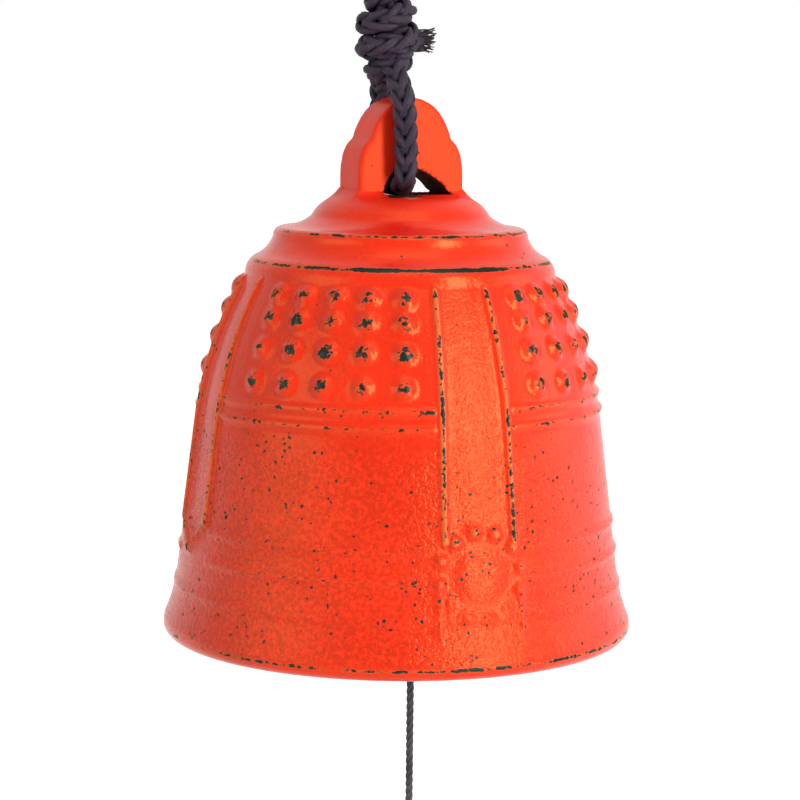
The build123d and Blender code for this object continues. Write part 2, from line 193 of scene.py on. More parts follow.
class Finish:
    """A material with one Principled shader, and the nodes that feed it."""

    def __init__(self, name, **constants):
        self.material = bpy.data.materials.new(name)
        self.material.use_nodes = True
        self.tree = self.material.node_tree
        self.shader = self.tree.nodes["Principled BSDF"]
        for socket, value in constants.items():
            self.shader.inputs[socket.replace("_", " ").title().replace("Ior", "IOR")].default_value = value
        self.place = self.node("ShaderNodeTexCoord", {}, {}, "Object")

    def node(self, kind, settings, inputs, output=0):
        made = self.tree.nodes.new(kind)
        for setting, value in settings.items():
            setattr(made, setting, value)
        for key, value in inputs.items():
            if isinstance(value, Wire):
                self.tree.links.new(value.socket, made.inputs[key])
            else:
                made.inputs[key].default_value = value
        return Wire(self, made.outputs[output])

    def noise(self, scale, detail=2.0, rough=0.5, place=None, output=0):
        inputs = {"Vector": place or self.place, "Scale": scale, "Detail": detail, "Roughness": rough}
        return self.node("ShaderNodeTexNoise", {}, inputs, output)

    def mix(self, amount, first, second):
        inputs = {0: amount, 6: first, 7: second}
        return self.node("ShaderNodeMix", {"data_type": "RGBA"}, inputs, 2)

    def attribute(self, name):
        return self.node("ShaderNodeAttribute", {"attribute_name": name}, {}, "Fac")

    def bump(self, height, strength, distance, below=None):
        inputs = {"Height": height, "Strength": strength, "Distance": distance}
        if below is not None:
            inputs["Normal"] = below
        return self.node("ShaderNodeBump", {}, inputs)

    def feed(self, **wires):
        """Joins wires to the shader's own inputs."""
        for socket, wire in wires.items():
            self.tree.links.new(wire.socket, self.shader.inputs[socket.replace("_", " ").title()])
        return self.material


def rgb(red, green, blue):
    return (red, green, blue, 1.0)


print("shader helpers ready")

# %% [markdown]
# ## The braided cord
#
# The cord is a round braid of eight flat strands. Four wind one way, four the other, and each dives under
# its neighbours twice a turn, which gives the rows of chevrons. A texture could fake that, but the outline
# of the cord is bumpy, so the strands are real. They follow points of one smooth NURBS line through the
# route of the solid model.

# %% Points along a cord's line
def smooth_line(name, route):
    """Points of the smooth line that has the route's points as its control points."""
    line = bpy.data.curves.new(name, "CURVE")
    line.dimensions = "3D"
    spline = line.splines.new("NURBS")
    spline.points.add(len(route) - 1)
    for point, place in zip(spline.points, route):
        point.co = (place[0] * mm, place[1] * mm, place[2] * mm, 1)
    spline.order_u = 3
    spline.use_endpoint_u = True
    spline.resolution_u = 24
    holder = bpy.data.objects.new(name, line)
    mesh = bpy.data.meshes.new_from_object(holder)
    points = np.array([vertex.co[:] for vertex in mesh.vertices])
    bpy.data.meshes.remove(mesh)
    bpy.data.objects.remove(holder)
    bpy.data.curves.remove(line)
    return points


def unit(vectors):
    return vectors / np.linalg.norm(vectors, axis=-1, keepdims=True)


def even_steps(points, step):
    """The same line with its points a steady distance apart, and each point's distance along it."""
    spans = np.linalg.norm(np.diff(points, axis=0), axis=1)
    along = np.concatenate(([0], np.cumsum(spans)))
    count = max(2, round(along[-1] / step))
    places = np.linspace(0, along[-1], count + 1)
    line = np.stack([np.interp(places, along, points[:, axis]) for axis in range(3)], axis=1)
    return line, places


def carried_sides(line, first_side):
    """Two directions square to the line at every point, carried along it without twisting."""
    tangents = unit(np.gradient(line, axis=0))
    side = np.array(first_side, dtype=float)
    sides = []
    for tangent in tangents:
        side = side - tangent * side.dot(tangent)
        side = side / np.linalg.norm(side)
        sides.append(side)
    sides = np.array(sides)
    return sides, np.cross(tangents, sides)


def strand_rings(centres, outward, width, thickness, corners=8):
    """Rings of points round a strand whose flat side faces outwards."""
    tangents = unit(np.gradient(centres, axis=0))
    across = unit(np.cross(tangents, outward))
    lift = np.cross(across, tangents)
    angles = np.arange(corners) * 2 * pi / corners
    wide = across[:, None] * np.cos(angles)[None, :, None] * np.reshape(width, (-1, 1, 1)) / 2
    thick = lift[:, None] * np.sin(angles)[None, :, None] * np.reshape(thickness, (-1, 1, 1)) / 2
    return centres[:, None] + wide + thick


def pick_out(*pieces):
    """Selects these pieces alone. The last one is the active one."""
    bpy.ops.object.select_all(action="DESELECT")
    for piece in pieces:
        piece.select_set(True)
    bpy.context.view_layer.objects.active = pieces[-1]


def strand_mesh(name, strands):
    """One object from many strands, each a list of rings. Its UV map runs along and round every strand."""
    strand_gap = 37.0
    points, faces, uvs = [], [], []
    for number, rings in enumerate(strands):
        count, corners = rings.shape[:2]
        base = len(points)
        points.extend(rings.reshape(-1, 3).tolist())
        middles = rings.mean(axis=1)
        along = np.concatenate(([0], np.cumsum(np.linalg.norm(np.diff(middles, axis=0), axis=1)))) / mm
        along = along + strand_gap * number
        for ring in range(count - 1):
            low, high = base + ring * corners, base + (ring + 1) * corners
            for corner in range(corners):
                after = (corner + 1) % corners
                faces.append((low + corner, low + after, high + after, high + corner))
                near, far = corner / corners, (corner + 1) / corners
                start, end = along[ring], along[ring + 1]
                uvs.extend((start, near, start, far, end, far, end, near))
        for ring in (0, count - 1):
            cap = [base + ring * corners + corner for corner in range(corners)]
            faces.append(cap[::-1] if ring == 0 else cap)
            uvs.extend((along[ring], 0.5) * corners)
    mesh = bpy.data.meshes.new(name)
    mesh.from_pydata(points, [], faces)
    mesh.uv_layers.new(name="strand").data.foreach_set("uv", uvs)
    piece = bpy.data.objects.new(name, mesh)
    scene.collection.objects.link(piece)
    pick_out(piece)
    bpy.ops.object.mode_set(mode="EDIT")
    bpy.ops.mesh.select_all(action="SELECT")
    bpy.ops.mesh.normals_make_consistent(inside=False)
    bpy.ops.object.mode_set(mode="OBJECT")
    bpy.ops.object.shade_smooth()
    print(name, len(mesh.polygons), "faces")
    return piece


braid_pitch = 10.4 * mm
braid_radius = 1.06 * mm
braid_weave = 0.34 * mm
braid_sway = 0.24
braid_strand_width = 1.34 * mm
braid_strand_thickness = 1.16 * mm
braid_step = 0.42 * mm
toward_camera = np.array((-sin(camera_turn), -cos(camera_turn), 0))


def braid(points, facing=toward_camera):
    """Rings of the eight strands of a braid along a line, with the row of chevrons facing one way."""
    line, places = even_steps(points, braid_step)
    side, other = carried_sides(line, facing)
    strands = []
    for hand in (1, -1):
        for number in range(4):
            angle = hand * (2 * pi * places / braid_pitch + pi / 8) + number * pi / 2
            over = hand * np.cos(2 * (angle + pi / 4))
            angle = angle - hand * braid_sway * np.sin(2 * (angle + pi / 4))
            radius = braid_radius + braid_weave * over
            outward = side * np.cos(angle)[:, None] + other * np.sin(angle)[:, None]
            centres = line + outward * radius[:, None]
            strands.append(strand_rings(centres, outward, braid_strand_width, braid_strand_thickness))
    return strands


# %% The cord's dark fibre
def braided_fibre():
    finish = Finish("braided_fibre", roughness=0.6, specular_ior_level=0.3)
    uv = finish.node("ShaderNodeUVMap", {"uv_map": "strand"}, {})
    along_strand = {"Vector": uv, "Rotation": (0, 0, 0.05), "Scale": (0.9, 14.0, 1)}
    yarn_place = finish.node("ShaderNodeMapping", {}, along_strand)
    yarns = finish.noise(1.0, 3.0, 0.6, yarn_place)
    hairs = finish.noise(4.0, 2.0, 0.6, yarn_place)
    patches = finish.noise(260.0, 2.0)
    shade = (yarns * 0.7 + patches * 0.5).between(0.35, 0.85)
    colour = finish.mix(shade, rgb(0.010, 0.005, 0.013), rgb(0.046, 0.027, 0.052))
    glint = (hairs + yarns * 0.5).between(0.84, 1.02)
    colour = finish.mix(glint * 0.5, colour, rgb(0.17, 0.11, 0.18))
    # Darker on the sides and undersides of every strand, where the strands press on each other: painted
    # shade between the strands.
    round_strand = finish.node("ShaderNodeSeparateXYZ", {}, {"Vector": uv}, "Y")
    from_top = (round_strand - 0.25) * (round_strand - 0.25)
    colour = finish.mix(from_top.between(0.012, 0.05), colour, rgb(0.004, 0.002, 0.005))
    relief = finish.bump(yarns + hairs * 0.5, 0.7, 0.0002)
    return finish.feed(base_color=colour, normal=relief)


cord_fibre = braided_fibre()
print("finish:", cord_fibre.name)

# %% [markdown]
# ## Loop, sling and knot
#
# The loop goes up from the knot, round the hook and back. Below the knot the same cord goes down the front
# of the lug, through its hole and up the back: that part is the sling, and the bell rocks on it. The loop
# and the sling are flexible pieces held between two ends. The legs run a little way into the knot, as the
# real ones do.

# %% Route of the loop and the sling, in millimetres
knot_offset = -2.6
knot_top = -38.0
knot_bottom = -51.7
near_leg = 2.0
hook_reach = 6.85
loop_half = [
    (knot_offset, -1.6, knot_top - 1.2),
    (knot_offset, -near_leg, knot_top + 3.4),
    (-0.8, -5.6, -16.0),
    (0, -hook_reach, -9.0),
    (0, -hook_reach, 0.2),
    (0, -4.2, 1.85),
]
loop_route = loop_half + [(x, -y, z) for x, y, z in reversed(loop_half)]
leg_reach = 6.45
sling_level = -67.65
sling_route = [
    (knot_offset, -0.6, knot_bottom + 2.4),
    (-2.4, -4.6, -52.6),
    (-2.2, -leg_reach, -55.4),
    (-1.8, -leg_reach, -60.0),
    (-1.7, -leg_reach, -65.6),
    (-1.6, -leg_reach + 0.9, sling_level - 0.2),
    (-1.4, 0, sling_level - 0.1),
    (-1.2, leg_reach - 1.2, sling_level),
    (-0.9, leg_reach, -66.2),
    (-0.7, leg_reach, -60.0),
    (-0.6, leg_reach, -55.4),
    (-1.4, 4.6, -52.6),
    (knot_offset, 0.6, knot_bottom + 2.4),
]

# %% Braid the loop and the sling
def line_length(points):
    return float(np.linalg.norm(np.diff(points, axis=0), axis=1).sum())


def braided_piece(name, node, points, facing):
    """A braided cord along a line, in place of its plain solid."""
    piece = strand_mesh(name, braid(points, facing))
    piece.data.materials.append(cord_fibre)
    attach(piece, "cord")
    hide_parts(node)
    return piece


loop_line = smooth_line("loop_line", loop_route)
sling_line = smooth_line("sling_line", sling_route)
loop_cord = braided_piece("loop_cord", "hanging_loop", loop_line, toward_camera)
sling_cord = braided_piece("sling_cord", "lug_sling", sling_line, toward_camera)
print("loop", round(line_length(loop_line) / mm, 1), "mm")
print("sling", round(line_length(sling_line) / mm, 1), "mm")

# %% [markdown]
# The knot is the cord itself, wound three and a half times round both legs and pulled tight. Its turns are
# not level:
# each one climbs over the last, so the wound line tilts as it rises, and it is widest in the middle.

# %% Wind the knot
knot_turns = 3.6
knot_tilt = 0.8
knot_points = 54
wrap_shares = (0.0, 0.05, 0.1, 0.18, 0.3, 0.55, 0.85, 1.0)
wrap_reaches = (0.5, 1.4, 1.75, 2.3, 2.8, 3.05, 2.5, 0.8)
knot_route = []
for number in range(knot_points):
    share = number / (knot_points - 1)
    angle = radians(70) + share * knot_turns * 2 * pi
    reach = float(np.interp(share, wrap_shares, wrap_reaches))
    level = knot_bottom - 0.6 + share * (knot_top - knot_bottom - 1.2)
    knot_route.append((
        knot_offset + reach * cos(angle),
        reach * sin(angle),
        level + knot_tilt * sin(angle + 0.6) * sin(pi * share),
    ))
knot_line = smooth_line("knot_line", knot_route)
core_levels = (knot_bottom + 0.5, (knot_bottom + knot_top) / 2, knot_top - 1.0)
core_line = smooth_line("core_line", [(knot_offset, 0, level) for level in core_levels])
knot_cord = strand_mesh("knot_cord", braid(knot_line, np.array((0, 0, 1.0))) + braid(core_line))
knot_cord.data.materials.append(cord_fibre)
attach(knot_cord, "cord")
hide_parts("cord_knot")

# %% [markdown]
# The cut end sticks out of the knot. Its braid opens within a few millimetres into loose yarns, which are
# paler where the dye is rubbed. Each strand of the braid gives a small tuft.

# %% Fray the cut end
tail_tilt = radians(10)
tail_level = knot_bottom + 3.8
tail_reach = 8.4
tail_braid_end = 5.4
tail_direction = np.array((cos(tail_tilt), 0, sin(tail_tilt)))
tail_start = np.array((knot_offset, 0, tail_level)) * mm
tail_shares = np.linspace(0, 1, 20)
tail_line = np.array([tail_start + tail_direction * share * tail_braid_end * mm for share in tail_shares])
tail_strands = braid(tail_line, np.array((0, -1.0, 0)))
chance = np.random.default_rng(7)
yarn_diameter = 0.34 * mm
for tuft in range(8):
    tuft_angle = tuft * 2 * pi / 8
    for yarn in range(7):
        start_angle = tuft_angle + chance.uniform(-0.35, 0.35)
        start_radius = chance.uniform(0.3, 1.25) * mm
        spread = chance.uniform(1.05, 1.75)
        length = chance.uniform(2.2, tail_reach - tail_braid_end + 0.2) * mm
        droop = chance.uniform(-0.5, 0.25) * mm
        wave = chance.uniform(-0.25, 0.25, 2) * mm
        yarn_points = []
        for share in np.linspace(0, 1, 9):
            radius = start_radius * (1 + (spread - 1) * share**1.5)
            ahead = tail_braid_end * mm - 0.8 * mm + length * share
            point = tail_start + tail_direction * ahead
            point = point + np.array((0, cos(start_angle), sin(start_angle))) * radius
            point = point + np.array((0, wave[0], wave[1])) * sin(share * 5)
            point = point + np.array((0, 0, droop)) * share**2
            yarn_points.append(point)
        yarn_points = np.array(yarn_points)
        outward = np.tile(np.array((0, cos(start_angle), sin(start_angle))), (len(yarn_points), 1))
        taper = yarn_diameter * np.linspace(1.0, 0.45, len(yarn_points))
        tail_strands.append(strand_rings(yarn_points, outward, taper, taper, 5))
tail_cord = strand_mesh("frayed_tail", tail_strands)
tail_cord.data.materials.append(cord_fibre)
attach(tail_cord, "cord")
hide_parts("cord_tail")

print("cords:", loop_cord.name, sling_cord.name)

# %% [markdown]
# ## String, clapper and strip
#
# The string is three plies twisted together. Where it turns round the wire eye, stops under the clapper or
# carries the strip it is tied, so each plain ball of the solid model becomes a small overhand knot.

# %% Twist the string
string_diameter = 1.2 * mm
string_offset = 2.4
ply_count = 3
ply_pitch = 3.6 * mm
ply_offset = 0.3 * mm
ply_diameter = 0.62 * mm


def twisted(points, step=0.22 * mm, first_side=(1.0, 0.02, 0.03)):
    """Rings of the plies of a string along a line."""
    line, places = even_steps(points, step)
    side, other = carried_sides(line, first_side)
    plies = []
    for ply in range(ply_count):
        angle = 2 * pi * (places / ply_pitch + ply / ply_count)
        outward = side * np.cos(angle)[:, None] + other * np.sin(angle)[:, None]
        plies.append(strand_rings(line + outward * ply_offset, outward, ply_diameter, ply_diameter * 0.9))
    return plies


def twisted_thread():
    finish = Finish("twisted_thread", roughness=0.75, specular_ior_level=0.25)
    uv = finish.node("ShaderNodeUVMap", {"uv_map": "strand"}, {})
    along_strand = {"Vector": uv, "Rotation": (0, 0, 0.25), "Scale": (2.2, 9.0, 1)}
    fibre_place = finish.node("ShaderNodeMapping", {}, along_strand)
    fibres = finish.noise(1.0, 3.0, 0.6, fibre_place)
    patches = finish.noise(300.0, 2.0)
    shade = (fibres * 0.8 + patches * 0.5).between(0.35, 0.95)
    colour = finish.mix(shade, rgb(0.024, 0.021, 0.026), rgb(0.12, 0.105, 0.115))
    return finish.feed(base_color=colour, normal=finish.bump(fibres, 0.6, 0.0001))


thread = twisted_thread()


def straight_string(name, node, body, top, length):
    """A hanging length of string in place of its plain solid."""
    line = smooth_line(name, [(string_offset, 0, level) for level in (top, top - length / 2, top - length)])
    piece = strand_mesh(name, twisted(line))
    piece.data.materials.append(thread)
    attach(piece, body)
    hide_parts(node)
    return piece, line


swing_level = -88.64
string_top = swing_level - 1.9
string_length = 46.0
strip_swing_level = -138.3
strip_string_top = strip_swing_level - 2.2
strip_string_length = 32.0
clapper_thread, clapper_line = straight_string(
    "clapper_thread", "clapper_string", "clapper", string_top, string_length
)
strip_thread, strip_line = straight_string(
    "strip_thread", "strip_string", "strip_string", strip_string_top, strip_string_length
)
print("clapper string", string_length, "mm, strip string", strip_string_length, "mm")

# %% Tie the small knots
def overhand_knot(name, node, body, level, radius, turn):
    """A pulled-tight overhand knot about a level, with its ends leading up and down."""
    size = (radius - 0.62) / 3
    route = []
    for number in range(37):
        angle = 2 * pi * number / 36
        flat_x = sin(angle) + 2 * sin(2 * angle)
        flat_y = cos(angle) - 2 * cos(2 * angle)
        rise = -sin(3 * angle)
        route.append((
            string_offset + size * (flat_x * cos(turn) - flat_y * sin(turn)),
            size * (flat_x * sin(turn) + flat_y * cos(turn)),
            level + 0.55 * radius * rise,
        ))
    loops = twisted(smooth_line(name, route), 0.2 * mm, (0.3, 0.2, 1.0))
    core = smooth_line(name, [(string_offset, 0, level + rise * radius) for rise in (0.9, 0.0, -1.0)])
    piece = strand_mesh(name, loops + twisted(core))
    piece.data.materials.append(thread)
    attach(piece, body)
    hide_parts(node)
    return piece


swing_knot = overhand_knot("swing_knot", "string_knot", "string_swivel", swing_level, 1.6, 0.3)
stop_knot = overhand_knot("stop_knot", "clapper_knot", "clapper", strip_swing_level, 1.9, 1.1)
strip_knot_level = -174.24
tie_knot = overhand_knot("tie_knot", "strip_knot", "strip", strip_knot_level, 1.6, 0.7)

# %% Hitch the string round the eye and through the strip
def closed_string(name, node, body, route):
    """A loop of string whose two ends meet."""
    line = smooth_line(name, route)
    piece = strand_mesh(name, twisted(line, 0.2 * mm, (0.9, 0.1, 0.2)))
    piece.data.materials.append(thread)
    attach(piece, body)
    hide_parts(node)
    return piece


string_radius = string_diameter / mm / 2
hitch_low, hitch_high = (np.array(corner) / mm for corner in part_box("string_loop"))
hitch_middle = (hitch_low + hitch_high) / 2
hitch_reach = (hitch_high[1] - hitch_low[1]) / 2 - string_radius
hitch_slack = 1.02
hitch_route = [
    (
        string_offset + 0.55 * sin(angle),
        hitch_reach * sin(angle) * hitch_slack,
        hitch_middle[2] - hitch_reach * cos(angle) * hitch_slack,
    )
    for angle in np.linspace(0, 2 * pi, 37)
]
eye_hitch = closed_string("eye_hitch", "string_loop", "bell", hitch_route)
tie_low, tie_high = (np.array(corner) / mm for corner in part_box("strip_loop"))
tie_half = (tie_high[1] - tie_low[1]) / 2 - string_radius
tie_top, tie_bottom = tie_high[2] - string_radius, tie_low[2] + string_radius
tie_half_route = [
    (0.25, 0, tie_top),
    (0.15, tie_half * 0.8, tie_top - 0.2),
    (0.1, tie_half, tie_top - 3.0),
    (0, tie_half, tie_bottom + 3.0),
    (0, tie_half, tie_bottom + 1.2),
    (0, tie_half * 0.6, tie_bottom),
]
tie_shape = tie_half_route + [(-x, -y, z) for x, y, z in reversed(tie_half_route)]
tie_route = [(string_offset + x, y, z) for x, y, z in tie_shape]
strip_tie = closed_string("strip_tie", "strip_loop", "strip", tie_route)

# %% [markdown]
# The two lengths of string hang free between their knots.

print("strings:", clapper_thread.name, strip_thread.name)

# %% [markdown]
# ## The bell's wall
#
# A bell is a turned shape, so its wall is drawn once as a line from the ceiling down the inside, round the
# lip and up the outside to the crown, and spun round the axis. The line has a point every half a millimetre
# where the casting has its pattern, because that pattern is raised out of the spun wall afterwards.

# %% Outline of the wall, as radius and height above the lip in millimetres
lip_level = -133.5
mouth_radius = 35.0
foot, waist, shoulder = (33.0, 8.0), (30.1, 31.0), (23.0, 52.2)
lower_step, lower_hollow = (21.6, 54.9), (18.9, 57.8)
upper_step, upper_hollow = (17.6, 59.2), (13.2, 60.9)
crown_edge, crown_height, ceiling_height = (9.2, 63.7), 63.7, 57.2
wall = 2.8


def arc(start, end, bulge, step):
    """Points of a shallow arc, without its first point. A positive bulge swells outwards."""
    start, end = np.array(start), np.array(end)
    chord = end - start
    length = np.hypot(*chord)
    count = max(1, round(length / step))
    half_turn = 2 * atan(2 * bulge / length)
    shares = np.linspace(0, 1, count + 1)[1:]
    if abs(half_turn) < 1e-6:
        return [tuple(start + chord * share) for share in shares]
    radius = length / 2 / sin(half_turn)
    along = chord / length
    out = np.array((along[1], -along[0]))
    turns = (2 * shares - 1) * half_turn
    forward = length / 2 + radius * np.sin(turns)
    sideways = radius * (np.cos(turns) - cos(half_turn))
    return [tuple(start + along * ahead + out * aside) for ahead, aside in zip(forward, sideways)]


def tangent_bulge(start, end, before):
    """The bulge of an arc that leaves its start in the direction of the line before it."""
    chord = np.array(end) - np.array(start)
    lean = np.array(start) - np.array(before)
    turn = np.arctan2(-chord[0], chord[1]) - np.arctan2(-lean[0], lean[1])
    return np.hypot(*chord) / 2 * tan(turn / 2)


fine, coarse = 0.5, 2.6
lip_drop = 1.5
outside = [(mouth_radius - 3.5, -lip_drop)]
outside += arc(outside[-1], (mouth_radius - 1.3, -lip_drop), 0.12, 0.6)
outside += arc(outside[-1], (mouth_radius, 0.0), 0.32, 0.3)
outside += arc(outside[-1], (mouth_radius - 0.12, 1.2), 0.03, 0.3)
outside += arc(outside[-1], foot, -0.22, fine)
outside += arc(outside[-1], waist, 0.0, fine)
outside += arc(outside[-1], shoulder, tangent_bulge(waist, shoulder, foot), fine)
outside += arc(outside[-1], lower_step, 0.42, 0.3)
outside += arc(outside[-1], lower_hollow, -0.42, 0.36)
outside += arc(outside[-1], upper_step, 0.4, 0.3)
outside += arc(outside[-1], upper_hollow, -0.4, 0.4)
outside += arc(outside[-1], crown_edge, 0.6, 0.4)
outside += arc(outside[-1], (0.0, crown_height), 0.0, 0.7)
inside = [(0.0, ceiling_height), (6.0, ceiling_height)]
inside += arc(inside[-1], (15.0, ceiling_height), 0.0, coarse)
inside += arc(inside[-1], (shoulder[0] - wall, shoulder[1] - wall), -1.0, 1.2)
inner_waist, inner_foot = (waist[0] - wall, waist[1]), (foot[0] - wall, foot[1])
panel_bulge = tangent_bulge(inner_waist, (shoulder[0] - wall, shoulder[1] - wall), inner_foot)
inside += arc(inside[-1], inner_waist, -panel_bulge, coarse)
inside += arc(inside[-1], inner_foot, 0.0, coarse)
inside += arc(inside[-1], outside[0], 0.0, 1.6)[:-1]
outline = inside + outside
print(len(outside), "points outside and", len(inside), "inside")

# %% Spin the wall
spin_columns = 392
bpy.ops.object.select_all(action="DESELECT")
bpy.ops.mesh.primitive_plane_add(size=0.001, location=(0, 0, 0))
bell = bpy.context.object
bell.name = bell.data.name = "bell_casting"
bpy.ops.object.mode_set(mode="EDIT")
bpy.ops.mesh.select_all(action="SELECT")
bpy.ops.mesh.merge(type="CENTER")
first = np.array((outline[0][0], 0, lip_level + outline[0][1])) * mm
bpy.ops.transform.translate(value=first)
last = np.array(outline[0])
for place in outline[1:]:
    move = (np.array(place) - last) * mm
    bpy.ops.mesh.extrude_vertices_move(TRANSFORM_OT_translate={"value": (move[0], 0, move[1])})
    last = np.array(place)
bpy.ops.mesh.select_all(action="SELECT")
bpy.ops.mesh.spin(steps=spin_columns, angle=2 * pi, center=(0, 0, 0), axis=(0, 0, 1))
bpy.ops.mesh.select_all(action="SELECT")
bpy.ops.mesh.remove_doubles(threshold=0.000002)
bpy.ops.mesh.normals_make_consistent(inside=False)
bpy.ops.object.mode_set(mode="OBJECT")
bpy.ops.object.shade_smooth()
print("spun wall:", len(bell.data.polygons), "faces")

# %% [markdown]
# ## The raised pattern
#
# Four upright bands divide the wall into panels. Ridges edge the bands, a pair of beads closes each panel
# below its field of bosses, and finer lines run round the skirt. On the real bell all of this is carved
# into the sand mould. Here each kind of relief is a vertex group whose weights say how far a point is
# raised, and a Displace modifier lifts the wall by that weight. The weights also tell the paint where
# the high spots are, because those are rubbed first. The columns of the spun wall are first moved closer
# together where the ridges run, because a narrow ridge needs more points than a plain wall.

# %% Crowd the columns at the ridges
count = len(bell.data.vertices)
spots = np.empty(count * 3)
bell.data.vertices.foreach_get("co", spots)
spots = spots.reshape(-1, 3)
reach = np.hypot(spots[:, 0], spots[:, 1])
turn = np.degrees(np.arctan2(spots[:, 1], spots[:, 0]))
band_half_angle = 9.3
angles = np.linspace(-45, 45, 1801)
crowding = 1 + 2.0 * np.exp(-(((np.abs(angles) - band_half_angle) / 1.6) ** 2))
even_angles = np.interp(np.cumsum(crowding), (crowding[0], crowding.sum()), (-45, 45))
from_band = (turn + 90 + 45) % 90 - 45
turn = turn - from_band + np.interp(from_band, even_angles, angles)
spots[:, 0] = reach * np.cos(np.radians(turn))
spots[:, 1] = reach * np.sin(np.radians(turn))
bell.data.vertices.foreach_set("co", spots.ravel())
bell.data.update()

# %% Where every point of the wall lies
spots = spots / mm
reach = reach / mm
height = spots[:, 2] - lip_level
outer_heights = np.array([place[1] for place in outside[5:]])
outer_radii = np.array([place[0] for place in outside[5:]])
is_outside = reach > np.interp(height, outer_heights, outer_radii) - wall / 2
is_outside |= height > ceiling_height + 1.0
from_band = (turn + 90 + 45) % 90 - 45
from_panel = (turn + 45 + 45) % 90 - 45
front_panel = (np.abs((turn + 135 + 180) % 360 - 180) < 45).astype(float)
side_band = (np.abs(spots[:, 0]) > np.abs(spots[:, 1])).astype(float)
band_arc = reach * np.radians(from_band)
edge_arc = reach * np.radians(np.abs(from_band) - band_half_angle)


def rise(value, low, high):
    """A smooth step from 0 to 1."""
    share = np.clip((value - low) / (high - low), 0, 1)
    return share * share * (3 - 2 * share)


def rounded(distance, half_width):
    """A rounded ridge: 1 on its line and 0 from its half width on."""
    return np.where(np.abs(distance) < half_width, 0.5 + 0.5 * np.cos(pi * distance / half_width), 0.0)


def to_line(across, up, start, end):
    """Distance of points on the wall from a straight line drawn on it."""
    start, end = np.array(start), np.array(end)
    run = end - start
    share = ((across - start[0]) * run[0] + (up - start[1]) * run[1]) / run.dot(run)
    share = np.clip(share, 0, 1)
    return np.hypot(across - start[0] - share * run[0], up - start[1] - share * run[1])


on_panel = rise(np.abs(from_band), band_half_angle + 0.4, band_half_angle + 2.2)
print("points:", count, "outside:", int(is_outside.sum()))

# %% Weights of every kind of relief
ridge_foot, band_point, ridge_half = 17.0, 12.6, 0.75
ridge_arc = np.radians(band_half_angle) * 32.0
upright = rounded(edge_arc, ridge_half) * rise(height, ridge_foot - 0.6, ridge_foot + 0.6)
upright = upright * (1 - rise(height, 51.4, 52.6))
point_line = to_line(np.abs(band_arc), height, (ridge_arc, ridge_foot + 0.2), (0.0, band_point))
ridges = np.maximum(upright, rounded(point_line, ridge_half) * side_band)
channel = 1 - rise(np.abs(from_band), band_half_angle - 3.2, band_half_angle - 1.4)
channel_floor = np.where(side_band > 0, band_point + 1.2 + np.abs(band_arc) * 0.94, ridge_foot)
channel = channel * rise(height - channel_floor, 0.2, 1.6) * (1 - rise(height, 50.0, 52.0))
channel = channel * np.where(side_band > 0, 1.0, 0.45)
bead_heights = (35.3, 32.9)
beads = np.maximum(rounded(height - bead_heights[0], 0.9), rounded(height - bead_heights[1], 0.9))
beads = beads * on_panel
skirt_lines = np.maximum(rounded(height - 16.2, 0.9), rounded(height - 12.0, 0.9)) * on_panel
skirt_lines = np.maximum(skirt_lines, rounded(height - 6.8, 1.2) * 0.7)
lower_ridge = rounded(reach * np.radians(np.abs(from_band) - 10.8), 0.9)
lower_ridge = lower_ridge * rise(height, 3.6, 5.0) * (1 - rise(height, 11.0, 12.4)) * (1 - side_band)
skirt_lines = np.maximum(skirt_lines, lower_ridge)

boss_heights = (50.4, 47.2, 43.0, 38.4)
boss_turns = (-23.3, -11.65, 0.0, 11.65, 23.3)
boss_reach, panel_drift = 1.95, 2.0
bosses = np.zeros(count)
for boss_height in boss_heights:
    for boss_turn in boss_turns:
        across = reach * np.radians(from_panel - boss_turn - panel_drift * front_panel)
        away = np.hypot(across, (height - boss_height) * 1.06) / boss_reach
        bosses = np.maximum(bosses, np.clip(1 - away**2, 0, 1) ** 1.15)

seat_height, seat_ring, seat_petals, seat_first_turn, petal_reach = 12.7, 6.1, 12, 8.0, 1.4
petals = np.zeros(count)
for petal in range(seat_petals):
    petal_turn = radians(seat_first_turn + 360 * petal / seat_petals)
    up = height - seat_height - seat_ring * sin(petal_turn)
    away = np.hypot(band_arc - seat_ring * cos(petal_turn), up)
    petals = np.maximum(petals, rounded(away, petal_reach) * (0.66 + 0.34 * sin(petal_turn)))
pad_away = np.hypot(band_arc, height - seat_height)
petals = petals * (1 - side_band)
seat = np.maximum(petals, 0.25 * (1 - rise(pad_away, 2.4, 4.4)) * (1 - side_band))

lug_half_thickness, lug_half_width, hole_left, hole_right = 4.3, 8.1, -4.45, 6.55
gap_y = np.clip(np.abs(spots[:, 1]) - lug_half_thickness + 0.3, 0, None)
spots_x = spots[:, 0]
left_gap = np.clip(np.maximum(spots_x - hole_left, -lug_half_width - spots_x), 0, None)
right_gap = np.clip(np.maximum(hole_right - spots_x, spots_x - lug_half_width), 0, None)
lug_gap = np.minimum(np.hypot(left_gap, gap_y), np.hypot(right_gap, gap_y))
foot_round = 2.4
share = np.clip(1 - lug_gap / foot_round, 0, 1)
lug_foot = (1 - np.sqrt(1 - share**2)) * rise(height, 56.0, 59.0)
in_hole = (spots_x > hole_left) & (spots_x < hole_right)
beside_cord = np.maximum(rise(-spots_x, 3.4, 3.9), rise(spots_x, 0.7, 1.3))
sill = 0.25 * rounded(np.abs(spots[:, 1]) - lug_half_thickness, 1.1) * beside_cord
lug_foot = np.where(in_hole, np.maximum(lug_foot * 0.15, sill), lug_foot)

reliefs = {
    "ridges": (ridges, 0.6),
    "channels": (channel, -0.38),
    "beads": (beads, 0.5),
    "skirt_lines": (skirt_lines, 0.36),
    "bosses": (bosses, 0.95),
    "seats": (seat, 1.15),
    "lug_foot": (lug_foot, 1.7),
}

